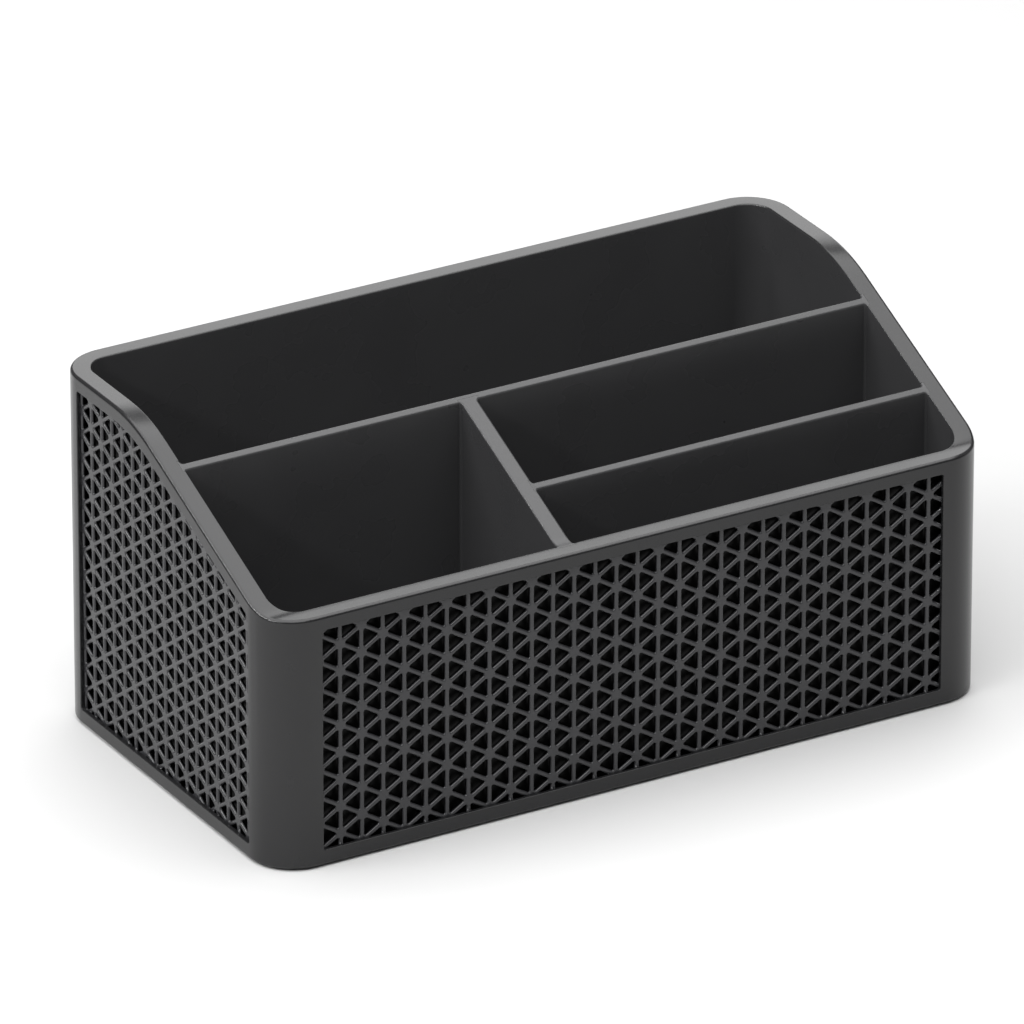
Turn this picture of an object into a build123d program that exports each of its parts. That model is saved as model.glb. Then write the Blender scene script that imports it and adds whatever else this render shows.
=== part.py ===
from build123d import *
import math
import os

# A desk caddy for remote controls. A moulded case with four lattice windows holds a smooth
# tray, whose wide rim caps the case. Three dividers stand in grooves of the tray.
# Millimetres, +Z up, front towards -Y. The origin is on the table, under the middle.

# Overall sizes
width = 254.0
depth = 137.0
back_height = 118.6
front_height = 84.3
corner_radius = 15.0

# Side profile of the rim: level at the back, a straight slope, level at the front
slope_head_from_back = 50.5
slope_foot_from_front = 7.5
head_bend = 60.0
foot_bend = 15.0

# Rim and edges
rim_thickness = 2.2
rim_round = 1.1
rim_inner_round = 0.5
case_round = 0.8
window_round = 0.3

# Case
case_wall = 1.2
window_past_corner = 2.6
side_window_past_corner = 0.2
window_strip_top = 4.8
window_strip_bottom = 4.9
window_corner = 0.8
ledge_width = 6.8
ledge_thickness = 1.2
pad_stand = 0.8

# Tray
tray_wall = 2.2
tray_floor = 2.0
peg_diameter = 5.0
peg_inset = 26.0
peg_short = 0.2

# Base plate and pads
base_thickness = 1.6
pad_diameter = 12.0
pad_recess = 0.4
pad_inset = 16.0
pad_chamfer = 0.3

# Lattice panels
panel_thickness = 1.3
panel_overlap = 1.6
cell_pitch = 7.42
cell_height = 9.1
first_rib = 6.8
first_node = 8.1
side_cell_pitch = 6.49
side_cell_height = 7.97
side_rib_from_middle = 1.6
side_first_node = 7.0
side_lean = 0.1
rib_width = 1.5
hole_overrun = 0.6
smallest_hole = 2.5

# Compartments and dividers
back_compartment = 62.9
middle_compartment = 33.4
left_compartment = 96.2
thin_divider = 2.8
cross_divider_thickness = 5.6
divider_flare = 0.8
divider_edge_round = 0.8
groove_depth = 1.0

# Clearances between pieces
slide_gap = 0.15
tray_gap = 1.65
groove_gap = 0.05
peg_gap = 0.15
panel_top_gap = 0.2

# Levels from the table up
case_bottom = pad_stand
base_top = case_bottom + base_thickness
ledge_top = base_top + ledge_thickness
floor_top = ledge_top + tray_floor
window_bottom = case_bottom + window_strip_bottom
above_all = back_height + 20.0

# How boxes and cylinders stand on the point where they are placed
standing = (Align.CENTER, Align.CENTER, Align.MIN)

# Insets from the outer face of the case: the rim is as wide as all that stands under it
panel_inset = case_wall + slide_gap
tray_inset = panel_inset + panel_thickness + tray_gap
rim_width = tray_inset + tray_wall
half_width = width / 2
half_depth = depth / 2
inner_half_width = half_width - rim_width
inner_half_depth = half_depth - rim_width

# Windows keep to the flat part of each side, past the rounded corners
window_margin = corner_radius + window_past_corner
side_window_margin = corner_radius + side_window_past_corner

# Faces of the dividers
long_back_y = inner_half_depth - back_compartment
long_front_y = long_back_y - thin_divider
short_back_y = long_front_y - middle_compartment
cross_left_x = left_compartment - inner_half_width
cross_right_x = cross_left_x + cross_divider_thickness

# The slope's angle moves the corners of a lowered rim line along it
slope_head_y = half_depth - slope_head_from_back
slope_foot_y = slope_foot_from_front - half_depth
slope_angle = math.atan2(back_height - front_height, slope_head_y - slope_foot_y)
corner_shift = math.tan(slope_angle / 2)


def inset_rectangle(inset):
    """The plan of the case, drawn inwards by inset, inside an open sketch."""
    RectangleRounded(width - 2 * inset, depth - 2 * inset, corner_radius - inset)


def under_rim(drop, mode=Mode.ADD):
    """The side view below the rim line, lowered square to it by drop, inside an open sketch."""
    head = (slope_head_y + drop * corner_shift, back_height - drop)
    foot = (slope_foot_y + drop * corner_shift, front_height - drop)
    with BuildLine() as outline:
        line = FilletPolyline(
            (depth, head[1]), head, foot, (-depth, foot[1]), radius=[head_bend - drop, foot_bend + drop]
        )
        Polyline(line @ 1, (-depth, -depth), (depth, -depth), line @ 0)
    make_face(outline.edges(), mode=mode)


def keep_under_rim(drop):
    """Cut the open part down to what lies below the lowered rim line."""
    with BuildSketch(Plane.YZ.offset(-width)) as side_view:
        under_rim(drop)
    extrude(side_view.sketch, amount=2 * width, mode=Mode.INTERSECT)


def plan_inset(point):
    """How far a point lies inside the plan of the case."""
    past_x = abs(point.X) - half_width + corner_radius
    past_y = abs(point.Y) - half_depth + corner_radius
    if min(past_x, past_y) > 0:
        return corner_radius - math.hypot(past_x, past_y)
    return corner_radius - max(past_x, past_y)


def rim_edges(part):
    """The edges round the flat top of the rim, first the outer ones and then the inner ones."""
    level = front_height - rim_thickness - 1.0
    tops = part.faces().filter_by(lambda face: face.normal_at().Z > 0.8 and face.center().Z > level)
    edges = ShapeList(edge for face in tops for edge in face.edges())
    border = edges.filter_by(lambda edge: sum(edge.is_same(other) for other in edges) == 1)
    outer = border.filter_by(lambda edge: plan_inset(edge @ 0.5) < rim_width / 2)
    inner = border.filter_by(lambda edge: plan_inset(edge @ 0.5) > rim_width / 2)
    return outer, inner


def divider_plan(span, thickness):
    """Plan of a divider along local X: flared ends and a toe in the groove at each end."""
    half = thickness / 2
    toe = groove_depth - groove_gap
    with BuildLine() as outline:
        side = Line((0, -half), (span / 2 - divider_flare, -half))
        flare = TangentArc(side @ 1, (span / 2, -half - divider_flare), tangent=(1, 0))
        Polyline(flare @ 1, (span / 2 + toe, -half - divider_flare), (span / 2 + toe, 0))
        mirror(about=Plane.XZ)
        mirror(about=Plane.YZ)
    make_face(outline.edges())


def groove(x, y, thickness, turn):
    """Cut a groove for a divider's end into the open part, from the tray's floor upwards."""
    across = thickness + 2 * divider_flare + 2 * groove_gap
    with Locations(Location((x, y, floor_top), (0, 0, turn))):
        Box(2 * groove_depth, across, above_all, align=standing, mode=Mode.SUBTRACT)


def divider_round(part, radius, along):
    """Round the long top edges of a divider that runs along the given axis."""
    top = part.faces().filter_by(lambda face: face.normal_at().Z > 0.7 and face.center().Z > floor_top + 1)
    edges = ShapeList(edge for face in top for edge in face.edges())
    long_edges = edges.filter_by(lambda edge: edge.length > 4 * radius)
    fillet(long_edges.filter_by(lambda edge: abs(edge.tangent_at(0.5).dot(along)) > 0.8), radius)


def lattice_holes(pitch, height, rib_x, node_z, half_span, top, lean=0.0):
    """Triangular holes between upright ribs and two families of sloping ribs, in an open sketch.

    One crossing lies at (rib_x, node_z). The rows climb by lean towards negative X.
    """
    side = math.hypot(pitch, height / 2)
    inradius = pitch * height / (height + 2 * side)
    shrink = 1 - rib_width / 2 / inradius
    base = rib_width / 2
    apex = inradius + (pitch - inradius) * shrink
    half = height / 2 * shrink
    rise = lean * half_span
    right_pointing = []
    left_pointing = []
    first_column = math.floor((-half_span - rib_x) / pitch)
    last_column = math.ceil((half_span - rib_x) / pitch)
    first_row = math.floor((window_bottom - rise - node_z) / height)
    last_row = math.ceil((top + rise - node_z) / height)
    for column in range(first_column, last_column):
        x = rib_x + column * pitch
        level = node_z - lean * column * pitch - height / 2 * (column % 2)
        for row in range(first_row, last_row + 1):
            right_pointing.append((x, level + row * height))
            left_pointing.append((x + pitch, level - lean * pitch + (row + 0.5) * height))
    with Locations(*right_pointing):
        Polygon((base, -half - lean * base), (apex, -lean * apex), (base, half - lean * base), align=None)
    with Locations(*left_pointing):
        Polygon((-base, -half + lean * base), (-base, half + lean * base), (-apex, lean * apex), align=None)


def window_rectangle(height, grow, mode=Mode.ADD):
    """The front or back window, grown by grow on each side, in an open sketch."""
    with Locations((0, window_bottom - grow)):
        Rectangle(
            width - 2 * window_margin + 2 * grow,
            height - window_strip_top - window_bottom + 2 * grow,
            align=(Align.CENTER, Align.MIN),
            mode=mode,
        )


def side_rectangle(grow):
    """Keep what lies between the upright edges and above the foot of a side window."""
    with Locations((0, window_bottom - grow)):
        Rectangle(
            depth - 2 * side_window_margin + 2 * grow,
            above_all,
            align=(Align.CENTER, Align.MIN),
            mode=Mode.INTERSECT,
        )


def panel_rectangle(height):
    """The outline of the front or back panel, in an open sketch."""
    with Locations((0, ledge_top)):
        Rectangle(
            width - 2 * window_margin + 2 * panel_overlap,
            height - rim_thickness - panel_top_gap - ledge_top,
            align=(Align.CENTER, Align.MIN),
        )


def side_panel_rectangle():
    """Keep what lies between the upright edges and above the foot of a side panel."""
    with Locations((0, ledge_top)):
        Rectangle(
            depth - 2 * side_window_margin + 2 * panel_overlap,
            above_all,
            align=(Align.CENTER, Align.MIN),
            mode=Mode.INTERSECT,
        )


def open_holes(holes):
    """The holes that are worth moulding: slivers at the window's edge stay closed."""
    return holes.sketch.faces().filter_by(lambda face: face.area > smallest_hole)


# Outer shell: thin walls, a ledge near the foot and a window in each side
with BuildPart() as outer_shell:
    with BuildSketch(Plane.XY.offset(case_bottom)):
        inset_rectangle(0)
    extrude(amount=above_all)
    fillet(outer_shell.faces().sort_by(Axis.Z)[0].edges(), case_round)
    keep_under_rim(rim_thickness)
    with BuildSketch(Plane.XY.offset(case_bottom)):
        inset_rectangle(case_wall)
    extrude(amount=base_thickness, mode=Mode.SUBTRACT)
    with BuildSketch(Plane.XY.offset(base_top)):
        inset_rectangle(case_wall + ledge_width)
    extrude(amount=ledge_thickness, mode=Mode.SUBTRACT)
    with BuildSketch(Plane.XY.offset(ledge_top)):
        inset_rectangle(case_wall)
    extrude(amount=above_all, mode=Mode.SUBTRACT)
    with BuildSketch(Plane.XZ.offset(half_depth - 2 * case_wall)):
        window_rectangle(front_height, 0)
        fillet(vertices(), window_corner)
    extrude(amount=4 * case_wall, mode=Mode.SUBTRACT)
    with BuildSketch(Plane.XZ.offset(-half_depth - 2 * case_wall)):
        window_rectangle(back_height, 0)
        fillet(vertices(), window_corner)
    extrude(amount=4 * case_wall, mode=Mode.SUBTRACT)
    with BuildSketch(Plane.YZ.offset(-width)) as side_window:
        under_rim(window_strip_top)
        side_rectangle(0)
        ends = side_window.vertices().group_by(Axis.X)
        fillet(ends[0] + ends[-1], window_corner)
    extrude(amount=2 * width, mode=Mode.SUBTRACT)
    for axis in (Axis.X, Axis.Y):
        for end in (0, -1):
            face = outer_shell.faces().sort_by(axis)[end]
            fillet(face.inner_wires()[0].edges(), window_round)
outer_shell.part.label = "outer_shell"

# Base plate: closes the case from below, with holes for the tray's pegs and recesses for the pads
peg_places = (width - 2 * peg_inset, depth - 2 * peg_inset, 2, 2)
pad_places = (width - 2 * pad_inset, depth - 2 * pad_inset, 2, 2)

with BuildPart() as base_plate:
    with BuildSketch(Plane.XY.offset(case_bottom)):
        inset_rectangle(panel_inset)
        with GridLocations(*peg_places):
            Circle(peg_diameter / 2 + peg_gap, mode=Mode.SUBTRACT)
    extrude(amount=base_thickness)
    with BuildSketch(Plane.XY.offset(case_bottom)):
        with GridLocations(*pad_places):
            Circle(pad_diameter / 2 + groove_gap)
    extrude(amount=pad_recess, mode=Mode.SUBTRACT)
base_plate.part.label = "base_plate"

# The cap that the tray's rim makes over the case walls
with BuildPart() as rim_cap:
    with BuildSketch(Plane.XY.offset(ledge_top)):
        inset_rectangle(0)
    extrude(amount=above_all)
    keep_under_rim(0)
    with BuildSketch(Plane.YZ.offset(-width)):
        under_rim(rim_thickness)
    extrude(amount=2 * width, mode=Mode.SUBTRACT)

# Middles of the dividers
long_middle_y = long_back_y - thin_divider / 2
short_middle_y = short_back_y - thin_divider / 2
cross_middle_x = cross_left_x + cross_divider_thickness / 2

# Inner tray: floor, smooth walls, rim, grooves for the dividers and pegs that hold the base
with BuildPart() as inner_tray:
    with BuildSketch(Plane.XY.offset(ledge_top)):
        inset_rectangle(tray_inset)
    extrude(amount=above_all)
    keep_under_rim(rim_thickness)
    add(rim_cap.part)
    with BuildSketch(Plane.XY.offset(floor_top)):
        inset_rectangle(rim_width)
    extrude(amount=above_all, mode=Mode.SUBTRACT)
    fillet(rim_edges(inner_tray)[1], rim_inner_round)
    fillet(rim_edges(inner_tray)[0], rim_round)
    groove(-inner_half_width, long_middle_y, thin_divider, 0)
    groove(inner_half_width, long_middle_y, thin_divider, 0)
    groove(inner_half_width, short_middle_y, thin_divider, 0)
    groove(cross_middle_x, -inner_half_depth, cross_divider_thickness, 90)
    with BuildSketch(Plane.XY.offset(ledge_top)):
        with GridLocations(*peg_places):
            Circle(peg_diameter / 2)
    extrude(amount=-(ledge_top - case_bottom - peg_short))
inner_tray.part.label = "inner_tray"

# Long divider: parts the back compartment from the front ones
with BuildPart() as long_divider:
    with BuildSketch(Plane((0, long_middle_y, floor_top))):
        divider_plan(2 * inner_half_width, thin_divider)
    extrude(amount=above_all)
    keep_under_rim(0)
    divider_round(long_divider, divider_edge_round, Vector(1, 0, 0))
    groove(cross_middle_x, long_front_y, cross_divider_thickness, 90)
long_divider.part.label = "long_divider"

# Cross divider: from the long divider to the front wall
cross_span = long_front_y + inner_half_depth

with BuildPart() as cross_divider:
    with BuildSketch(Plane((cross_middle_x, long_front_y - cross_span / 2, floor_top), x_dir=(0, 1, 0))):
        divider_plan(cross_span, cross_divider_thickness)
    extrude(amount=above_all)
    keep_under_rim(0)
    divider_round(cross_divider, divider_edge_round, Vector(0, 1, 0))
    groove(cross_right_x, short_middle_y, thin_divider, 0)
cross_divider.part.label = "cross_divider"

# Short divider: from the cross divider to the right wall
short_span = inner_half_width - cross_right_x

with BuildPart() as short_divider:
    with BuildSketch(Plane((cross_right_x + short_span / 2, short_middle_y, floor_top))):
        divider_plan(short_span, thin_divider)
    extrude(amount=above_all)
    keep_under_rim(0)
    divider_round(short_divider, divider_edge_round, Vector(1, 0, 0))
short_divider.part.label = "short_divider"

# Lattice panels: they stand on the ledge behind the windows and end just under the rim
long_first_rib = window_margin + first_rib - half_width
long_first_node = window_bottom + first_node

with BuildSketch() as front_holes:
    lattice_holes(cell_pitch, cell_height, long_first_rib, long_first_node, half_width, front_height)
    window_rectangle(front_height, hole_overrun, mode=Mode.INTERSECT)

with BuildPart() as front_lattice:
    with BuildSketch(Plane.XZ.offset(half_depth - panel_inset - panel_thickness)):
        panel_rectangle(front_height)
        add(open_holes(front_holes), mode=Mode.SUBTRACT)
    extrude(amount=panel_thickness)
front_lattice.part.label = "front_lattice"

with BuildSketch() as back_holes:
    lattice_holes(cell_pitch, cell_height, long_first_rib, long_first_node, half_width, back_height)
    window_rectangle(back_height, hole_overrun, mode=Mode.INTERSECT)

with BuildPart() as back_lattice:
    with BuildSketch(Plane.XZ.offset(panel_inset - half_depth)):
        panel_rectangle(back_height)
        add(open_holes(back_holes), mode=Mode.SUBTRACT)
    extrude(amount=panel_thickness)
back_lattice.part.label = "back_lattice"

with BuildSketch() as side_holes:
    lattice_holes(
        side_cell_pitch,
        side_cell_height,
        side_rib_from_middle,
        window_bottom + side_first_node,
        half_depth,
        back_height,
        side_lean,
    )
    under_rim(window_strip_top - hole_overrun, mode=Mode.INTERSECT)
    side_rectangle(hole_overrun)

with BuildPart() as left_lattice:
    with BuildSketch(Plane.YZ.offset(panel_inset - half_width)):
        under_rim(rim_thickness + panel_top_gap)
        side_panel_rectangle()
        add(open_holes(side_holes), mode=Mode.SUBTRACT)
    extrude(amount=panel_thickness)
left_lattice.part.label = "left_lattice"

with BuildPart() as right_lattice:
    mirror(left_lattice.part, about=Plane.YZ)
right_lattice.part.label = "right_lattice"

# Four pads of soft rubber, stuck into the recesses of the base plate
pads = {}
for side, x in (("left", pad_inset - half_width), ("right", half_width - pad_inset)):
    for end, y in (("front", pad_inset - half_depth), ("back", half_depth - pad_inset)):
        with BuildPart() as pad:
            with Locations((x, y)):
                Cylinder(pad_diameter / 2, pad_stand + pad_recess, align=standing)
            chamfer(pad.edges().group_by(Axis.Z)[0], pad_chamfer)
        name = f"foot_{end}_{side}"
        pad.part.label = name
        pads[name] = pad

pieces = {
    "outer_shell": outer_shell,
    "front_lattice": front_lattice,
    "back_lattice": back_lattice,
    "left_lattice": left_lattice,
    "right_lattice": right_lattice,
    "base_plate": base_plate,
    "inner_tray": inner_tray,
    "long_divider": long_divider,
    "cross_divider": cross_divider,
    "short_divider": short_divider,
    **pads,
}

os.makedirs("parts", exist_ok=True)
for name, piece in pieces.items():
    export_step(piece.part, f"parts/{name}.step")
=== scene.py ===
import math

import bmesh
import bpy
from bpy.props import FloatProperty, FloatVectorProperty, PointerProperty
from mathutils import Euler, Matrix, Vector


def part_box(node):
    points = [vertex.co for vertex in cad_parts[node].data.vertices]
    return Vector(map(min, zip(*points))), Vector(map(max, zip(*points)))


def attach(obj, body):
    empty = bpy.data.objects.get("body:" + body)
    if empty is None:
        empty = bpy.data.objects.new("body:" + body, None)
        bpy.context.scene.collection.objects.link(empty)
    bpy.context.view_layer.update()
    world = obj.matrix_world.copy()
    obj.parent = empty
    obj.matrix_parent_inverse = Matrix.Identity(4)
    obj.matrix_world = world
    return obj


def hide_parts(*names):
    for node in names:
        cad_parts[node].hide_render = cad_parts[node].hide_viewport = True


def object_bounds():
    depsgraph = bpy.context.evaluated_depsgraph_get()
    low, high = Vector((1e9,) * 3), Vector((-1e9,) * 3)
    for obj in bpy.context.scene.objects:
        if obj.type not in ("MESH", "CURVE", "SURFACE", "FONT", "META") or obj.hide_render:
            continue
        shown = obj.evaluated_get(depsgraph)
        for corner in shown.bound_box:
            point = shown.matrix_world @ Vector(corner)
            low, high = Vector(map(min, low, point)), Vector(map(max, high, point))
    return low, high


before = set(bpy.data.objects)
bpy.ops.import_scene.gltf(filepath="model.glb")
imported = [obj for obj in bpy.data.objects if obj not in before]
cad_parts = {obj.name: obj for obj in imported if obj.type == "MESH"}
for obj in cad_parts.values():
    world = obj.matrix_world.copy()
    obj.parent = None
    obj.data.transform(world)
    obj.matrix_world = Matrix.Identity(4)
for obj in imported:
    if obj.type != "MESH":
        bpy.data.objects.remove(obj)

bl_info = {
    "name": "Remote control holder",
    "version": (1, 0, 0),
    "blender": (4, 5, 0),
    "location": "View3D > Sidebar > Caddy",
    "description": "Finishes the lattice-sided caddy for remote controls and sets it in a pale studio",
    "category": "Object",
}

CAD_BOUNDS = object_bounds()
MM = 0.001

# Copies of the solid model: points closer than the weld become one, and edges that bend less than the limit
# look round
WELD = 0.002 * MM
SHARP_EDGE = math.radians(38)

# Zones of the tray, in the order of its materials. The walls behind the lattice get the painted shade.
RIM, INSIDE, BEHIND_LATTICE = range(3)
# Depths from the outside of the case that sort the tray's faces: the inside starts this little before the
# rim's full width, and the outer walls lie between these two. A wall's normal rises less than the limit.
INSIDE_PLAY = 0.05 * MM
OUTER_WALLS = (2.5 * MM, 5 * MM)
WALL_RISE = 0.3

# How far the tools that cut the lattice reach past the panel's two faces
CUTTER_REACH = 0.5 * MM
WINDOW_REACH = 1 * MM
# Straight pieces in each rounded corner of a hole
CORNER_STEPS = 3
# Rows of holes beyond those that the window's height asks for, because of the stagger
SPARE_ROWS = 4
# How much a normal points out of the panel: more than the first on its front, less than the second on the
# holes' flanks and on the other sides, which get the painted shade
FRONT_FACING = 0.9
FLANK_FACING = 0.2

# The studio: half the floor's side, the height that the camera's aim starts from, and the lights' aim
FLOOR_REACH = 20.0
AIM_HEIGHT = 50 * MM
CADDY_MIDDLE = (0.0, 0.0, 0.08)


def to_linear(code):
    """Turn an sRGB hex code into the linear colour that shaders use, opaque."""
    channels = [int(code[i : i + 2], 16) / 255 for i in (0, 2, 4)]
    return [c / 12.92 if c <= 0.04045 else ((c + 0.055) / 1.055) ** 2.4 for c in channels] + [1.0]


# Settings


class CaddyLatticeSizes(bpy.types.PropertyGroup):
    """Sizes of the triangular lattice behind the windows."""

    cell_pitch: FloatProperty(
        name="Rib pitch",
        description="Distance between upright ribs",
        default=7.42 * MM,
        subtype="DISTANCE",
    )
    cell_height: FloatProperty(
        name="Node pitch",
        description="Distance between crossings along a rib",
        default=9.1 * MM,
        subtype="DISTANCE",
    )
    first_rib: FloatProperty(
        name="First rib",
        description="From the window's left edge to a rib",
        default=6.8 * MM,
        subtype="DISTANCE",
    )
    first_node: FloatProperty(
        name="First node",
        description="From the window's foot to a crossing",
        default=8.1 * MM,
        subtype="DISTANCE",
    )
    side_cell_pitch: FloatProperty(
        name="Side rib pitch",
        description="Rib pitch of the side panels",
        default=6.49 * MM,
        subtype="DISTANCE",
    )
    side_cell_height: FloatProperty(
        name="Side node pitch",
        description="Node pitch of the side panels",
        default=7.97 * MM,
        subtype="DISTANCE",
    )
    side_rib: FloatProperty(
        name="Side rib",
        description="Y of one upright rib of the side panels",
        default=1.6 * MM,
        subtype="DISTANCE",
    )
    side_first_node: FloatProperty(
        name="Side first node",
        description="From the window's foot to a crossing on that rib",
        default=7.0 * MM,
        subtype="DISTANCE",
    )
    side_lean: FloatProperty(
        name="Side lean",
        description="How the rows of the side panels climb towards the front",
        default=0.1,
    )
    rib_width: FloatProperty(
        name="Rib width",
        description="Width of every rib behind its rounding",
        default=1.5 * MM,
        subtype="DISTANCE",
    )
    edge_round: FloatProperty(
        name="Rib edge radius",
        description="Rounding of the ribs' outer edges",
        default=0.65 * MM,
        subtype="DISTANCE",
    )
    hole_corner: FloatProperty(
        name="Hole corner radius",
        description="Rounding in the holes' corners",
        default=0.45 * MM,
        subtype="DISTANCE",
    )
    smallest_hole: FloatProperty(
        name="Smallest hole",
        description="Openings with a smaller area than this stay closed",
        default=2.5e-6,
        precision=6,
        unit="AREA",
    )


class CaddyWindowSizes(bpy.types.PropertyGroup):
    """Sizes of the windows, as in the solid model."""

    foot: FloatProperty(
        name="Window foot",
        description="Height of the windows' lower edge",
        default=5.7 * MM,
        subtype="DISTANCE",
    )
    overlap: FloatProperty(
        name="Overlap",
        description="How far a panel reaches past its window",
        default=1.6 * MM,
        subtype="DISTANCE",
    )
    overrun: FloatProperty(
        name="Overrun",
        description="How far the holes run behind the frame",
        default=0.6 * MM,
        subtype="DISTANCE",
    )
    strip: FloatProperty(
        name="Top strip",
        description="From the rim down to the window",
        default=4.8 * MM,
        subtype="DISTANCE",
    )
    panel_drop: FloatProperty(
        name="Panel drop",
        description="From the rim down to the panel's top",
        default=2.4 * MM,
        subtype="DISTANCE",
    )


class CaddyRimSizes(bpy.types.PropertyGroup):
    """Side profile of the rim: level, slope, level. And the corners in plan."""

    corner_radius: FloatProperty(
        name="Corner radius",
        description="Outer radius of the corners",
        default=15 * MM,
        subtype="DISTANCE",
    )
    width: FloatProperty(
        name="Rim width",
        description="From the outside to the tray's inner wall",
        default=6.5 * MM,
        subtype="DISTANCE",
    )
    back_height: FloatProperty(
        name="Back height",
        description="Height of the rim at the back",
        default=118.6 * MM,
        subtype="DISTANCE",
    )
    front_height: FloatProperty(
        name="Front height",
        description="Height of the rim at the front",
        default=84.3 * MM,
        subtype="DISTANCE",
    )
    slope_head: FloatProperty(
        name="Slope head",
        description="Y where the slope would start without its bend",
        default=18 * MM,
        subtype="DISTANCE",
    )
    slope_foot: FloatProperty(
        name="Slope foot",
        description="Y where the slope would end without its bend",
        default=-61 * MM,
        subtype="DISTANCE",
    )
    head_bend: FloatProperty(
        name="Head bend",
        description="Radius at the slope's head",
        default=60 * MM,
        subtype="DISTANCE",
    )
    foot_bend: FloatProperty(
        name="Foot bend",
        description="Radius at the slope's foot",
        default=15 * MM,
        subtype="DISTANCE",
    )


class CaddyFinish(bpy.types.PropertyGroup):
    """Colours of the mouldings, with their painted light and shade, and of the studio floor."""

    case: FloatVectorProperty(
        name="Case",
        description="Colour of the case, its base and the tray's rim",
        default=to_linear("1C1C1D"),
        size=4,
        subtype="COLOR",
    )
    lattice: FloatVectorProperty(
        name="Lattice",
        description="Colour of the lattice panels",
        default=to_linear("2E2E30"),
        size=4,
        subtype="COLOR",
    )
    # Lighter than the case and the rim: painted light on the compartments and dividers
    tray: FloatVectorProperty(
        name="Tray",
        description="Colour of the compartments and their dividers",
        default=to_linear("343435"),
        size=4,
        subtype="COLOR",
    )
    # Painted shade: the colour of the holes' flanks
    flank: FloatVectorProperty(
        name="Painted flank shade",
        description="Colour inside the lattice's holes",
        default=to_linear("101011"),
        size=4,
        subtype="COLOR",
    )
    # Painted shade: the colour of the tray's walls behind the lattice
    painted_depth_shade: FloatVectorProperty(
        name="Depths",
        description="Colour of the walls behind the lattice",
        default=to_linear("0A0A0A"),
        size=4,
        subtype="COLOR",
    )
    pad: FloatVectorProperty(
        name="Pads",
        description="Colour of the rubber pads",
        default=to_linear("1C1C1C"),
        size=4,
        subtype="COLOR",
    )
    floor: FloatVectorProperty(
        name="Floor",
        description="Colour of the studio floor",
        default=to_linear("BEBEBE"),
        size=4,
        subtype="COLOR",
    )


class CaddyStudio(bpy.types.PropertyGroup):
    """Camera and lights."""

    azimuth: FloatProperty(
        name="Azimuth",
        description="Camera's turn about the vertical",
        default=math.radians(-30.05),
        unit="ROTATION",
    )
    elevation: FloatProperty(
        name="Elevation",
        description="Camera's angle above the floor",
        default=math.radians(25.52),
        unit="ROTATION",
    )
    distance: FloatProperty(
        name="Distance",
        description="From the aim to the camera",
        default=4.317,
        subtype="DISTANCE",
    )
    lens: FloatProperty(
        name="Lens",
        description="Focal length in millimetres",
        default=492.2,
        unit="CAMERA",
    )
    aim: FloatVectorProperty(
        name="Aim",
        description="Right and up of the point that is 50 mm above the origin",
        default=(-3.634 * MM, 13.2 * MM),
        size=2,
        subtype="TRANSLATION",
    )
    overhead: FloatProperty(
        name="Overhead",
        description="Power of the large softbox above",
        default=49.0,
        unit="POWER",
    )
    back: FloatProperty(
        name="Back",
        description="Power of the softbox behind",
        default=9.0,
        unit="POWER",
    )
    left: FloatProperty(
        name="Left",
        description="Power of the narrow strip at the left",
        default=17.0,
        unit="POWER",
    )
    front: FloatProperty(
        name="Front",
        description="Power of the softbox high at the front",
        default=4.5,
        unit="POWER",
    )
    right: FloatProperty(
        name="Right",
        description="Power of the softbox at the right",
        default=0.5,
        unit="POWER",
    )
    sky: FloatProperty(
        name="Sky",
        description="Strength of the white surroundings",
        default=0.2,
        min=0.0,
    )


# Materials

# Somewhat under the 1.54 of ABS, as matched to the object's soft reflections
PLASTIC_IOR = 1.45
# The grain of a finely etched mould is near 0.1 mm across. That is too fine to show, so it is drawn coarser.
FINE_GRAIN = 0.5 * MM
MOULD_GRAIN = 0.55 * MM
RUBBER_GRAIN = 0.6 * MM
# Large moulded walls cool unevenly: patches of this size drift a little in tone and in roughness
PATCH = 22 * MM
TONE_DRIFT = 0.04
ROUGHNESS_DRIFT = 0.02
# Specular level of the faces in painted shade, lowered so that they mirror next to nothing
SHADED_SHINE = 0.12


def add_node(tree, kind, inputs=None, **settings):
    """Add a node, apply its settings, and fill its inputs with values or links.

    A node given as an input stands for its first output, and a list gives one input several links.
    """
    made = tree.nodes.new(kind)
    for name, value in settings.items():
        setattr(made, name, value)
    for key, value in (inputs or {}).items():
        for source in value if isinstance(value, list) else [value]:
            if isinstance(source, bpy.types.Node):
                source = source.outputs[0]
            if isinstance(source, bpy.types.NodeSocket):
                tree.links.new(source, made.inputs[key])
            else:
                made.inputs[key].default_value = source
    return made


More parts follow.
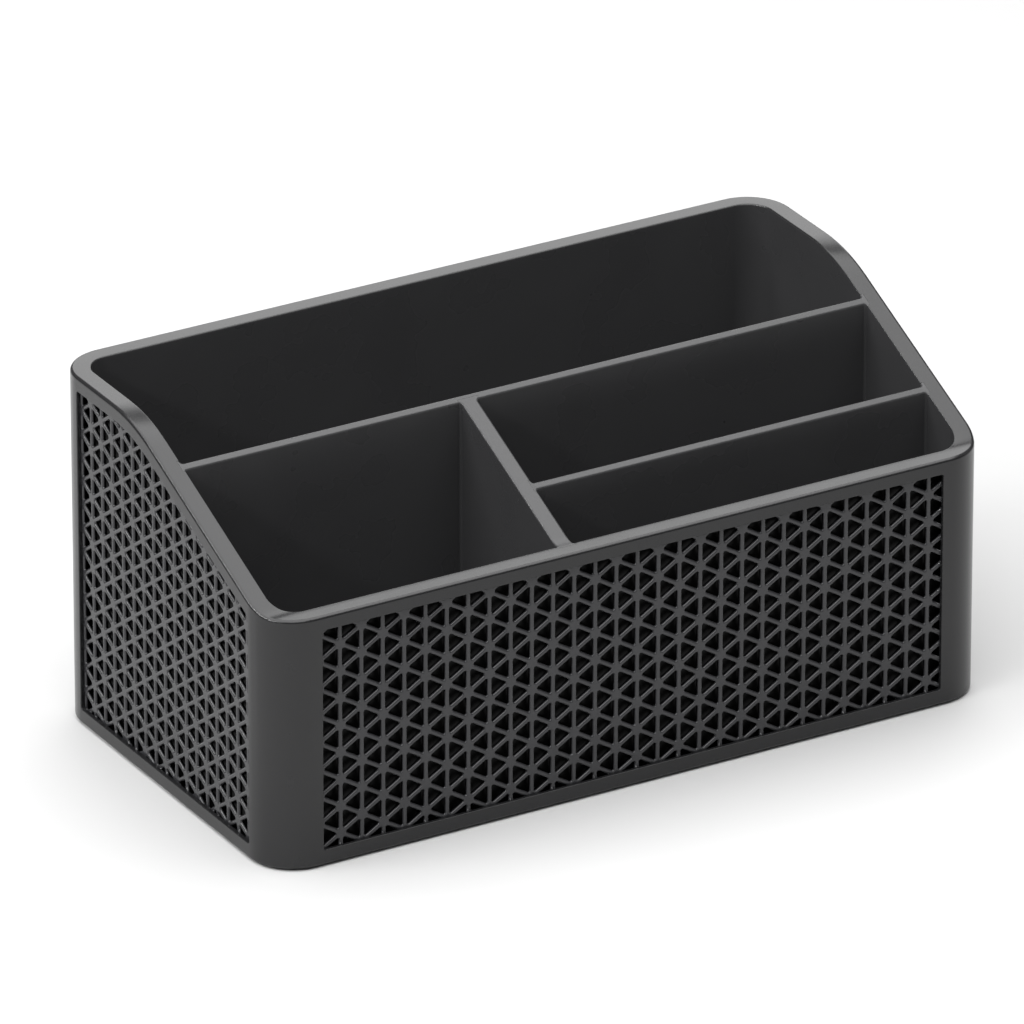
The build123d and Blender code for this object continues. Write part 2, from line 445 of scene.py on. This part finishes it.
def moulded(name, colour, roughness, grain, relief, shine=0.5):
    """Injection-moulded plastic or rubber with the fine grain of an etched mould."""
    material = bpy.data.materials.new(name)
    material.use_nodes = True
    tree = material.node_tree
    place = add_node(tree, "ShaderNodeTexCoord").outputs["Object"]
    patches = add_node(tree, "ShaderNodeTexNoise", {"Vector": place, "Scale": 1 / PATCH, "Detail": 3.0})
    etched = add_node(tree, "ShaderNodeTexNoise", {"Vector": place, "Scale": 1 / grain, "Detail": 2.0})
    # Nearly all of the noise lies between these two
    spread = {"Value": patches.outputs["Fac"], "From Min": 0.3, "From Max": 0.7}
    tones = {**spread, "To Min": 1 - TONE_DRIFT, "To Max": 1 + TONE_DRIFT}
    tone = add_node(tree, "ShaderNodeMapRange", tones)
    tinted = {0: tuple(colour[:3]), "Scale": tone.outputs["Result"]}
    tint = add_node(tree, "ShaderNodeVectorMath", tinted, operation="SCALE")
    drift = {**spread, "To Min": roughness - ROUGHNESS_DRIFT, "To Max": roughness + ROUGHNESS_DRIFT}
    gloss = add_node(tree, "ShaderNodeMapRange", drift)
    bumps = {"Height": etched.outputs["Fac"], "Distance": relief, "Strength": 1.0}
    bump = add_node(tree, "ShaderNodeBump", bumps)
    shader = tree.nodes["Principled BSDF"]
    shader.inputs["IOR"].default_value = PLASTIC_IOR
    shader.inputs["Specular IOR Level"].default_value = shine
    tree.links.new(tint.outputs["Vector"], shader.inputs["Base Color"])
    tree.links.new(gloss.outputs["Result"], shader.inputs["Roughness"])
    tree.links.new(bump.outputs["Normal"], shader.inputs["Normal"])
    return material


def case_abs(finish):
    """ABS, injection-moulded in a finely etched mould."""
    # Gives the case a near black, with wide soft greys where its walls mirror the room
    return moulded("moulded_abs_matt", finish.case, roughness=0.24, grain=MOULD_GRAIN, relief=0.008 * MM)


def rim_abs(finish):
    """The same ABS, moulded a touch smoother."""
    # Gives the rim's top an even grey band, and its slopes a soft sheen
    return moulded("moulded_abs_rim", finish.case, roughness=0.21, grain=MOULD_GRAIN, relief=0.006 * MM)


def tray_abs_painted_light(finish):
    """ABS, injection-moulded in a mould etched a little deeper."""
    # Gives the compartments' walls an even dark grey, without clear reflections. The grey is lighter than
    # the rim's on the same moulding: painted light on the compartments and dividers
    return moulded("moulded_abs_tray_painted_light", finish.tray, roughness=0.28, grain=MOULD_GRAIN, relief=0.01 * MM)


def lattice_abs(finish):
    """ABS, injection-moulded to a satin surface."""
    # Gives the ribs' round edges thin bright lines
    return moulded("moulded_abs_satin", finish.lattice, roughness=0.2, grain=FINE_GRAIN, relief=0.006 * MM)


def flank_painted_shade(finish):
    """The lattice's ABS inside the holes, where little light gets in, drawn with painted shade."""
    # Painted shade: darker and duller than the ribs' faces, so that the holes look black and deep
    return moulded(
        "moulded_abs_flank_painted_shade",
        finish.flank,
        roughness=0.35,
        grain=FINE_GRAIN,
        relief=0.006 * MM,
        shine=SHADED_SHINE,
    )


def painted_shade_abs(finish):
    """The tray's ABS on the walls that show only through the lattice, drawn with painted shade."""
    # Painted shade: nearly black and dull, so that the ribs stand out in front of it
    return moulded(
        "moulded_abs_painted_shade",
        finish.painted_depth_shade,
        roughness=0.35,
        grain=MOULD_GRAIN,
        relief=0.006 * MM,
        shine=SHADED_SHINE,
    )


def pad_rubber(finish):
    """Soft rubber, moulded with a coarse matt surface."""
    # Gives the pads a dull black with hardly any highlight
    return moulded("moulded_rubber", finish.pad, roughness=0.7, grain=RUBBER_GRAIN, relief=0.03 * MM)


def painted_board(finish):
    """Board with a dead matt paint."""
    # Gives a white ground with nothing on it but the caddy's soft shadow
    material = bpy.data.materials.new("painted_board")
    material.use_nodes = True
    shader = material.node_tree.nodes["Principled BSDF"]
    shader.inputs["Base Color"].default_value = finish.floor
    shader.inputs["Roughness"].default_value = 0.9
    return material


# Geometry helpers


def new_object(name, data):
    """Add an object for a mesh, a lamp or a camera to the scene."""
    made = bpy.data.objects.new(name, data)
    bpy.context.scene.collection.objects.link(made)
    return made


def settle(piece):
    """Turn a piece with live modifiers into a plain mesh."""
    graph = bpy.context.evaluated_depsgraph_get()
    mesh = bpy.data.meshes.new_from_object(piece.evaluated_get(graph), depsgraph=graph)
    piece.modifiers.clear()
    old = piece.data
    piece.data = mesh
    bpy.data.meshes.remove(old)


def hand_over(piece, node):
    """Let a piece stand for a node of the solid model."""
    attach(piece, "root")
    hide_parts(node)


def tray_zone(face):
    """Sort the tray's faces into the rim, the inside and the walls that show only through the lattice."""
    rim = bpy.context.scene.caddy_rim
    half = (Vector(CAD_BOUNDS[1]) - Vector(CAD_BOUNDS[0])) / 2
    spot = face.calc_center_median()
    past = Vector((abs(spot.x) - half.x + rim.corner_radius, abs(spot.y) - half.y + rim.corner_radius))
    inset = rim.corner_radius - (past.length if min(past) > 0 else max(past))
    if inset > rim.width - INSIDE_PLAY:
        return INSIDE
    outer = OUTER_WALLS[0] < inset < OUTER_WALLS[1]
    return BEHIND_LATTICE if outer and abs(face.normal.z) < WALL_RISE else RIM


def smooth_copy(node, materials, zone=lambda face: 0):
    """Copy a node of the solid model, weld it and shade its rounded edges smoothly.

    The zone of a face is the number of its material.
    """
    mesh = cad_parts[node].data.copy()
    mesh.materials.clear()
    for material in materials:
        mesh.materials.append(material)
    shape = bmesh.new()
    shape.from_mesh(mesh)
    bmesh.ops.remove_doubles(shape, verts=shape.verts, dist=WELD)
    for face in shape.faces:
        face.smooth = True
        face.material_index = zone(face)
    for edge in shape.edges:
        edge.smooth = len(edge.link_faces) == 2 and edge.calc_face_angle(0.0) < SHARP_EDGE
    shape.to_mesh(mesh)
    shape.free()
    piece = new_object(node + "_finish", mesh)
    weighted = piece.modifiers.new("Weighted normals", "WEIGHTED_NORMAL")
    weighted.keep_sharp = True
    settle(piece)
    hand_over(piece, node)


def rectangle(low_u, high_u, low_v, high_v):
    """Corners of an upright rectangle, anticlockwise."""
    return [(low_u, low_v), (high_u, low_v), (high_u, high_v), (low_u, high_v)]


def rounded_line(points, radii, steps=14):
    """Points of a line whose inner corners are rounded by the given radii."""
    line = [Vector(points[0])]
    for before, corner, after, radius in zip(points, points[1:], points[2:], radii):
        corner = Vector(corner)
        back = (Vector(before) - corner).normalized()
        on = (Vector(after) - corner).normalized()
        half = back.angle(on) / 2
        centre = corner + (back + on).normalized() * radius / math.sin(half)
        start = corner + back * radius / math.tan(half) - centre
        end = corner + on * radius / math.tan(half) - centre
        for step in range(steps + 1):
            line.append(centre + start.slerp(end, step / steps).normalized() * radius)
    line.append(Vector(points[-1]))
    return line


def rim_line(rim, drop, low, high):
    """The rim's side profile lowered by drop, from y = low to y = high, as (y, z)."""
    slope = math.atan2(rim.back_height - rim.front_height, rim.slope_head - rim.slope_foot)
    shift = drop * math.tan(slope / 2)
    front = rim.front_height - drop
    back = rim.back_height - drop
    # Well past both ends of the caddy
    far = 1.0
    points = [(-far, front), (rim.slope_foot + shift, front), (rim.slope_head + shift, back), (far, back)]
    line = rounded_line(points, [rim.foot_bend + drop, rim.head_bend - drop])
    cut = []
    for a, b in zip(line, line[1:]):
        for y in (low, high):
            if a.x < y <= b.x:
                cut.append(a.lerp(b, (y - a.x) / (b.x - a.x)))
        if low < b.x < high:
            cut.append(b)
    return sorted(cut, key=lambda point: point.x)


def add_prism(shape, outline, low, high, mark, value):
    """Add a closed prism over an outline, from w = low to w = high, its faces marked."""
    lower = [shape.verts.new((u, v, low)) for u, v in outline]
    upper = [shape.verts.new((u, v, high)) for u, v in outline]
    faces = [shape.faces.new(lower[::-1]), shape.faces.new(upper)]
    for i, corner in enumerate(lower):
        following = (i + 1) % len(lower)
        faces.append(shape.faces.new((corner, lower[following], upper[following], upper[i])))
    for face in faces:
        face[mark] = value


# Lattice


def hole_cutter(sizes, pitch, height, thickness):
    """The shape that cuts one hole: a triangle with rounded corners that flares at the face."""
    side = math.hypot(pitch, height / 2)
    inradius = pitch * height / (height + 2 * side)
    centre = Vector((inradius, 0.0))
    corners = [Vector((0.0, -height / 2)), Vector((pitch, 0.0)), Vector((0.0, height / 2))]
    shrink = 1 - (sizes.rib_width / 2 + sizes.hole_corner) / inradius
    middles = [centre + (corner - centre) * shrink for corner in corners]
    outward = []
    for i in range(3):
        along = corners[(i + 1) % 3] - corners[i]
        outward.append(math.atan2(-along.x, along.y))
    rounding = sizes.edge_round
    profile = [(rounding, CUTTER_REACH)]
    for turn in (0.0, math.pi / 6, math.pi / 3, math.pi / 2):
        profile.append((rounding * (1 - math.sin(turn)), rounding * (math.cos(turn) - 1)))
    profile.append((0.0, -thickness - CUTTER_REACH))
    shape = bmesh.new()
    rings = []
    for offset, w in profile:
        ring = []
        for i in range(3):
            start = outward[i - 1]
            turn = (outward[i] - start) % math.tau
            for step in range(CORNER_STEPS + 1):
                angle = start + turn * step / CORNER_STEPS
                reach = sizes.hole_corner + offset
                u = middles[i].x + reach * math.cos(angle)
                v = middles[i].y + reach * math.sin(angle)
                ring.append(shape.verts.new((u, v, w)))
        rings.append(ring)
    for upper, lower in zip(rings, rings[1:]):
        for i, corner in enumerate(upper):
            following = (i + 1) % len(upper)
            shape.faces.new((corner, lower[i], lower[following], upper[following]))
    shape.faces.new(rings[0])
    shape.faces.new(rings[-1][::-1])
    bmesh.ops.recalc_face_normals(shape, faces=shape.faces)
    mesh = bpy.data.meshes.new("hole_cutter")
    shape.to_mesh(mesh)
    shape.free()
    return new_object("hole_cutter", mesh)


def lattice_tree():
    """Geometry nodes that cut a field of staggered triangular holes out of a panel."""
    tree = bpy.data.node_groups.new("Lattice panel", "GeometryNodeTree")
    tree.interface.new_socket(name="Geometry", in_out="OUTPUT", socket_type="NodeSocketGeometry")
    for name, kind in (
        ("Geometry", "NodeSocketGeometry"),
        ("Cutter", "NodeSocketObject"),
        ("Rib pitch", "NodeSocketFloat"),
        ("Node pitch", "NodeSocketFloat"),
        ("First rib", "NodeSocketFloat"),
        ("First node", "NodeSocketFloat"),
        ("Columns", "NodeSocketInt"),
        ("Rows", "NodeSocketInt"),
        ("Lean", "NodeSocketFloat"),
        ("Smallest hole", "NodeSocketFloat"),
        ("Turn", "NodeSocketRotation"),
        ("Place", "NodeSocketVector"),
        ("Plastic", "NodeSocketMaterial"),
        ("Painted flank shade", "NodeSocketMaterial"),
    ):
        tree.interface.new_socket(name=name, in_out="INPUT", socket_type=kind)
    given = add_node(tree, "NodeGroupInput").outputs

    # One point for each cell, row by row in every column, each second column half a cell lower
    index = add_node(tree, "GeometryNodeInputIndex")
    ratio = add_node(tree, "ShaderNodeMath", {0: index, 1: given["Rows"]}, operation="DIVIDE")
    column = add_node(tree, "ShaderNodeMath", {0: ratio}, operation="FLOOR")
    row = add_node(tree, "ShaderNodeMath", {0: index, 1: given["Rows"]}, operation="MODULO")
    along = {0: column, 1: given["Rib pitch"], 2: given["First rib"]}
    across = add_node(tree, "ShaderNodeMath", along, operation="MULTIPLY_ADD")
    upward = {0: row, 1: given["Node pitch"], 2: given["First node"]}
    climb = add_node(tree, "ShaderNodeMath", upward, operation="MULTIPLY_ADD")
    half = add_node(tree, "ShaderNodeMath", {0: given["Node pitch"], 1: 0.5}, operation="MULTIPLY")
    odd = add_node(tree, "ShaderNodeMath", {0: column, 1: 2.0}, operation="MODULO")
    stagger = add_node(tree, "ShaderNodeMath", {0: odd, 1: half}, operation="MULTIPLY")
    level = add_node(tree, "ShaderNodeMath", {0: climb, 1: stagger}, operation="SUBTRACT")
    spot = add_node(tree, "ShaderNodeCombineXYZ", {"X": across, "Y": level})
    count = add_node(tree, "ShaderNodeMath", {0: given["Columns"], 1: given["Rows"]}, operation="MULTIPLY")
    points = add_node(tree, "GeometryNodePoints", {"Count": count, "Position": spot})

    # A hole that points right and one that points left stand at each point
    beside = add_node(tree, "ShaderNodeCombineXYZ", {"X": given["Rib pitch"], "Y": half})
    moved = add_node(tree, "GeometryNodeSetPosition", {"Geometry": points, "Offset": beside})
    cutter = add_node(tree, "GeometryNodeObjectInfo", {"Object": given["Cutter"]}).outputs["Geometry"]
    pointing = add_node(tree, "GeometryNodeInstanceOnPoints", {"Points": points, "Instance": cutter})
    opposite = {"Points": moved, "Instance": cutter, "Rotation": Euler((0.0, 0.0, math.pi))}
    turned = add_node(tree, "GeometryNodeInstanceOnPoints", opposite)
    both = add_node(tree, "GeometryNodeJoinGeometry", {0: [pointing, turned]})
    field = add_node(tree, "GeometryNodeRealizeInstances", {0: both})

    # The rows lean: every point of the field climbs with its distance across
    position = add_node(tree, "GeometryNodeInputPosition")
    where = add_node(tree, "ShaderNodeSeparateXYZ", {0: position})
    slant = add_node(tree, "ShaderNodeMath", {0: where, 1: given["Lean"]}, operation="MULTIPLY")
    lift = add_node(tree, "ShaderNodeCombineXYZ", {"Y": slant})
    leaning = add_node(tree, "GeometryNodeSetPosition", {"Geometry": field, "Offset": lift})

    # Only the part of the field inside the window is cut out, and no sliver at its edge
    mark = add_node(tree, "GeometryNodeInputNamedAttribute", {"Name": "window"}, data_type="INT")
    marked = {"Geometry": given["Geometry"], "Selection": mark}
    parts = add_node(tree, "GeometryNodeSeparateGeometry", marked, domain="FACE").outputs
    inside = {"Mesh 2": [leaning, parts["Selection"]]}
    holes = add_node(tree, "GeometryNodeMeshBoolean", inside, operation="INTERSECT", solver="MANIFOLD")
    normal = add_node(tree, "GeometryNodeInputNormal")
    facing = add_node(tree, "ShaderNodeSeparateXYZ", {0: normal}).outputs["Z"]
    front = add_node(tree, "ShaderNodeMath", {0: facing, 1: FRONT_FACING}, operation="GREATER_THAN")
    area = add_node(tree, "GeometryNodeInputMeshFaceArea")
    counted = add_node(tree, "ShaderNodeMath", {0: area, 1: front}, operation="MULTIPLY")
    island = add_node(tree, "GeometryNodeInputMeshIsland").outputs["Island Index"]
    summed = {"Value": counted, "Group ID": island}
    opening = add_node(tree, "GeometryNodeAccumulateField", summed, domain="FACE").outputs["Total"]
    limit = {0: opening, 1: given["Smallest hole"]}
    sliver = add_node(tree, "ShaderNodeMath", limit, operation="LESS_THAN")
    slivers = {"Geometry": holes, "Selection": sliver}
    worth = add_node(tree, "GeometryNodeDeleteGeometry", slivers, domain="FACE")
    pair = {"Mesh 1": parts["Inverted"], "Mesh 2": worth}
    pierced = add_node(tree, "GeometryNodeMeshBoolean", pair, operation="DIFFERENCE", solver="MANIFOLD")

    # The ribs' fronts and round edges get one material, the holes' flanks and the other sides the painted
    # shade
    smooth = add_node(tree, "GeometryNodeSetShadeSmooth", {"Geometry": pierced})
    side = add_node(tree, "ShaderNodeMath", {0: facing, 1: FLANK_FACING}, operation="LESS_THAN")
    kept = {"Geometry": smooth, "Name": "flank", "Value": side}
    stored = add_node(tree, "GeometryNodeStoreNamedAttribute", kept, data_type="BOOLEAN", domain="FACE")
    stand = {"Geometry": stored, "Rotation": given["Turn"], "Translation": given["Place"]}
    placed = add_node(tree, "GeometryNodeTransform", stand)
    real = add_node(tree, "GeometryNodeRealizeInstances", {0: placed})
    clad = add_node(tree, "GeometryNodeSetMaterial", {"Geometry": real, "Material": given["Plastic"]})
    flank = add_node(tree, "GeometryNodeInputNamedAttribute", {"Name": "flank"}, data_type="BOOLEAN")
    darkened = {"Geometry": clad, "Selection": flank, "Material": given["Painted flank shade"]}
    add_node(tree, "NodeGroupOutput", {0: add_node(tree, "GeometryNodeSetMaterial", darkened)})
    return tree


def make_lattice(node, panel, window, face, turn, cell, crossing, lean, plastics):
    """Cut one lattice panel: outlines in (u, v) as seen from outside, then turned into place.

    The cell is the pitch of the upright ribs and of the nodes on them, and one node lies at the crossing.
    """
    sizes = bpy.context.scene.caddy_lattice
    pitch, height = cell
    low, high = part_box(node)
    thickness = min((high - low).x, (high - low).y)
    shape = bmesh.new()
    mark = shape.faces.layers.int.new("window")
    add_prism(shape, panel, -thickness, 0.0, mark, 0)
    add_prism(shape, window, -thickness - WINDOW_REACH, WINDOW_REACH, mark, 1)
    bmesh.ops.recalc_face_normals(shape, faces=shape.faces)
    mesh = bpy.data.meshes.new(node + "_finish")
    shape.to_mesh(mesh)
    shape.free()
    piece = new_object(node + "_finish", mesh)
    cutter = hole_cutter(sizes, pitch, height, thickness)
    left = min(u for u, v in window)
    foot = min(v for u, v in window)
    right = max(u for u, v in window)
    top = max(v for u, v in window)
    rise = abs(lean) * max(abs(left), abs(right))
    # An even first column, so that the stagger keeps a node at the crossing
    first_column = math.floor((left - crossing[0]) / pitch / 2) * 2
    first_row = math.floor((foot - rise - crossing[1]) / height) - 1
    modifier = piece.modifiers.new("Lattice", "NODES")
    modifier.node_group = bpy.data.node_groups.get("Lattice panel") or lattice_tree()
    values = {
        "Cutter": cutter,
        "Rib pitch": pitch,
        "Node pitch": height,
        "First rib": crossing[0] + first_column * pitch,
        "First node": crossing[1] + first_row * height - lean * crossing[0],
        "Columns": math.ceil((right - crossing[0]) / pitch) - first_column,
        "Rows": math.ceil((top + rise - foot + rise) / height) + SPARE_ROWS,
        "Lean": lean,
        "Smallest hole": sizes.smallest_hole,
        "Turn": (math.pi / 2, 0.0, turn),
        "Place": face,
        "Plastic": plastics[0],
        "Painted flank shade": plastics[1],
    }
    for item in modifier.node_group.interface.items_tree:
        if item.in_out == "INPUT" and item.name in values:
            modifier[item.identifier] = values[item.name]
    weighted = piece.modifiers.new("Weighted normals", "WEIGHTED_NORMAL")
    weighted.keep_sharp = False
    settle(piece)
    bpy.data.objects.remove(cutter)
    hand_over(piece, node)


def level_lattice(node, wall, plastics):
    """Make the front panel, whose wall is 1, or the back one, whose wall is -1: u is wall times x."""
    scene = bpy.context.scene
    sizes, windows = scene.caddy_lattice, scene.caddy_windows
    low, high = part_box(node)
    grow = windows.overlap - windows.overrun
    top = high.z + windows.panel_drop - windows.strip + windows.overrun
    window = rectangle(low.x + grow, high.x - grow, windows.foot - windows.overrun, top)
    panel = rectangle(low.x, high.x, low.z, high.z)
    face = (0.0, low.y if wall == 1 else high.y, 0.0)
    turn = 0.0 if wall == 1 else math.pi
    cell = (sizes.cell_pitch, sizes.cell_height)
    crossing = (wall * (low.x + windows.overlap + sizes.first_rib), windows.foot + sizes.first_node)
    make_lattice(node, panel, window, face, turn, cell, crossing, 0.0, plastics)


def side_lattice(node, wall, plastics):
    """Make the right panel, whose wall is 1, or the left one, whose wall is -1: u is wall times y."""
    scene = bpy.context.scene
    sizes, windows = scene.caddy_lattice, scene.caddy_windows
    low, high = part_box(node)
    grow = windows.overlap - windows.overrun
    foot = windows.foot - windows.overrun
    front, back = low.y + grow, high.y - grow
    window_top = rim_line(scene.caddy_rim, windows.strip - windows.overrun, front, back)
    window = [(wall * y, z) for y, z in window_top] + [(wall * back, foot), (wall * front, foot)]
    panel_top = rim_line(scene.caddy_rim, windows.panel_drop, low.y, high.y)
    panel = [(wall * y, z) for y, z in panel_top] + [(wall * high.y, low.z), (wall * low.y, low.z)]
    face = (low.x if wall == -1 else high.x, 0.0, 0.0)
    cell = (sizes.side_cell_pitch, sizes.side_cell_height)
    crossing = (wall * sizes.side_rib, windows.foot + sizes.side_first_node)
    lean = -wall * sizes.side_lean
    make_lattice(node, panel, window, face, wall * math.pi / 2, cell, crossing, lean, plastics)


# Studio


def softbox(name, place, aim, width, height, power):
    """A rectangular area light that points at a place."""
    lamp = bpy.data.lights.new(name, "AREA")
    lamp.shape = "RECTANGLE"
    lamp.size = width
    lamp.size_y = height
    lamp.energy = power
    light = new_object(name, lamp)
    light.location = place
    light.rotation_euler = (Vector(aim) - Vector(place)).to_track_quat("-Z", "Y").to_euler()
    return light


def studio_floor(finish):
    """A wide level floor at z = 0."""
    shape = bmesh.new()
    bmesh.ops.create_grid(shape, x_segments=1, y_segments=1, size=FLOOR_REACH)
    mesh = bpy.data.meshes.new("floor")
    shape.to_mesh(mesh)
    shape.free()
    mesh.materials.append(painted_board(finish))
    new_object("floor", mesh)


def studio_lights(studio):
    """Four softboxes, a narrow strip and a dim white sky. Places and sizes are in metres."""
    above, below = (-0.16, 0.0, 1.35), (-0.16, 0.0, 0.0)
    behind = (0.95, 1.6, 0.9)
    far_left = (-1.32, -0.06, 1.0)
    in_front = (-0.3, -1.1, 1.35)
    far_right = (1.7, -0.2, 0.7)
    strip_lean = math.radians(-8.0)
    # The wide box overhead keeps the floor white, and the rim's slopes mirror it
    softbox("overhead_softbox", above, below, width=2.3, height=1.9, power=studio.overhead)
    # The level tops of the rim and the dividers mirror the box behind
    softbox("back_softbox", behind, CADDY_MIDDLE, width=1.4, height=0.9, power=studio.back)
    # The strip leans, so that it brightens the round corner at the front left along its height
    strip = softbox("left_strip", far_left, CADDY_MIDDLE, width=1.3, height=0.1, power=studio.left)
    strip.rotation_euler.rotate_axis("Z", strip_lean)
    # These two lift the front and the right wall out of the dark
    softbox("front_softbox", in_front, CADDY_MIDDLE, width=0.9, height=0.7, power=studio.front)
    softbox("right_softbox", far_right, CADDY_MIDDLE, width=0.8, height=0.8, power=studio.right)
    world = bpy.data.worlds.new("studio")
    world.use_nodes = True
    sky = world.node_tree.nodes["Background"]
    sky.inputs["Color"].default_value = (1.0, 1.0, 1.0, 1.0)
    sky.inputs["Strength"].default_value = studio.sky
    bpy.context.scene.world = world


def studio_camera(studio):
    """A long lens at the photograph's angle."""
    a, e = studio.azimuth, studio.elevation
    towards = Vector((math.sin(a) * math.cos(e), -math.cos(a) * math.cos(e), math.sin(e)))
    right = Vector((math.cos(a), math.sin(a), 0.0))
    up = towards.cross(right)
    aim = Vector((0.0, 0.0, AIM_HEIGHT)) + right * studio.aim[0] + up * studio.aim[1]
    lens = bpy.data.cameras.new("photo_view")
    lens.sensor_width = 36.0
    lens.lens = studio.lens
    lens.clip_end = 100.0
    camera = new_object("photo_view", lens)
    camera.location = aim + towards * studio.distance
    camera.rotation_euler = (-towards).to_track_quat("-Z", "Y").to_euler()
    bpy.context.scene.camera = camera


# Operators


class CADDY_OT_case(bpy.types.Operator):
    """Finish the outer shell and its base"""

    bl_idname = "caddy.case"
    bl_label = "Shell and base"

    def execute(self, context):
        plastic = case_abs(context.scene.caddy_finish)
        for node in ("outer_shell", "base_plate"):
            smooth_copy(node, [plastic])
        return {"FINISHED"}


class CADDY_OT_tray(bpy.types.Operator):
    """Finish the inner tray and its dividers"""

    bl_idname = "caddy.tray"
    bl_label = "Inner tray and dividers"

    def execute(self, context):
        finish = context.scene.caddy_finish
        # The inside and the dividers get a lighter colour than the rim of the same tray: painted light
        inside = tray_abs_painted_light(finish)
        # The tray's walls behind the lattice get the painted shade
        smooth_copy("inner_tray", [rim_abs(finish), inside, painted_shade_abs(finish)], tray_zone)
        for node in ("long_divider", "cross_divider", "short_divider"):
            smooth_copy(node, [inside])
        return {"FINISHED"}


class CADDY_OT_lattices(bpy.types.Operator):
    """Cut the four lattice panels with rounded ribs"""

    bl_idname = "caddy.lattices"
    bl_label = "Lattice panels"

    def execute(self, context):
        finish = context.scene.caddy_finish
        # The second plastic carries the painted shade on the holes' flanks
        plastics = (lattice_abs(finish), flank_painted_shade(finish))
        for node, wall in (("front_lattice", 1), ("back_lattice", -1)):
            level_lattice(node, wall, plastics)
        for node, wall in (("left_lattice", -1), ("right_lattice", 1)):
            side_lattice(node, wall, plastics)
        return {"FINISHED"}


class CADDY_OT_pads(bpy.types.Operator):
    """Finish the rubber pads"""

    bl_idname = "caddy.pads"
    bl_label = "Pads"

    def execute(self, context):
        rubber = pad_rubber(context.scene.caddy_finish)
        for node in ("foot_front_left", "foot_front_right", "foot_back_left", "foot_back_right"):
            smooth_copy(node, [rubber])
        return {"FINISHED"}


class CADDY_OT_stage(bpy.types.Operator):
    """Set the floor, the lights and the camera"""

    bl_idname = "caddy.stage"
    bl_label = "Studio"

    def execute(self, context):
        scene = context.scene
        studio_floor(scene.caddy_finish)
        studio_lights(scene.caddy_studio)
        studio_camera(scene.caddy_studio)
        scene.view_settings.view_transform = "Standard"
        return {"FINISHED"}


class CADDY_PT_panel(bpy.types.Panel):
    """Sizes, finishes and the steps that make the caddy"""

    bl_label = "Remote control holder"
    bl_idname = "CADDY_PT_panel"
    bl_space_type = "VIEW_3D"
    bl_region_type = "UI"
    bl_category = "Caddy"

    def draw(self, context):
        for group, kind in SETTINGS:
            box = self.layout.box()
            for name in kind.__annotations__:
                box.prop(getattr(context.scene, group), name)
        for step in STEPS:
            self.layout.operator(step.bl_idname)


SETTINGS = (
    ("caddy_lattice", CaddyLatticeSizes),
    ("caddy_windows", CaddyWindowSizes),
    ("caddy_rim", CaddyRimSizes),
    ("caddy_finish", CaddyFinish),
    ("caddy_studio", CaddyStudio),
)
STEPS = (CADDY_OT_case, CADDY_OT_tray, CADDY_OT_lattices, CADDY_OT_pads, CADDY_OT_stage)


def register():
    """Add the settings, the steps and the panel."""
    for group, kind in SETTINGS:
        bpy.utils.register_class(kind)
        setattr(bpy.types.Scene, group, PointerProperty(type=kind))
    for kind in (*STEPS, CADDY_PT_panel):
        bpy.utils.register_class(kind)


def unregister():
    """Take away what register added."""
    for kind in (CADDY_PT_panel, *reversed(STEPS)):
        bpy.utils.unregister_class(kind)
    for group, kind in reversed(SETTINGS):
        delattr(bpy.types.Scene, group)
        bpy.utils.unregister_class(kind)


def main():
    """Make every piece and the studio."""
    register()
    bpy.ops.caddy.case()
    bpy.ops.caddy.tray()
    bpy.ops.caddy.lattices()
    bpy.ops.caddy.pads()
    bpy.ops.caddy.stage()


if __name__ == "__main__":
    main()
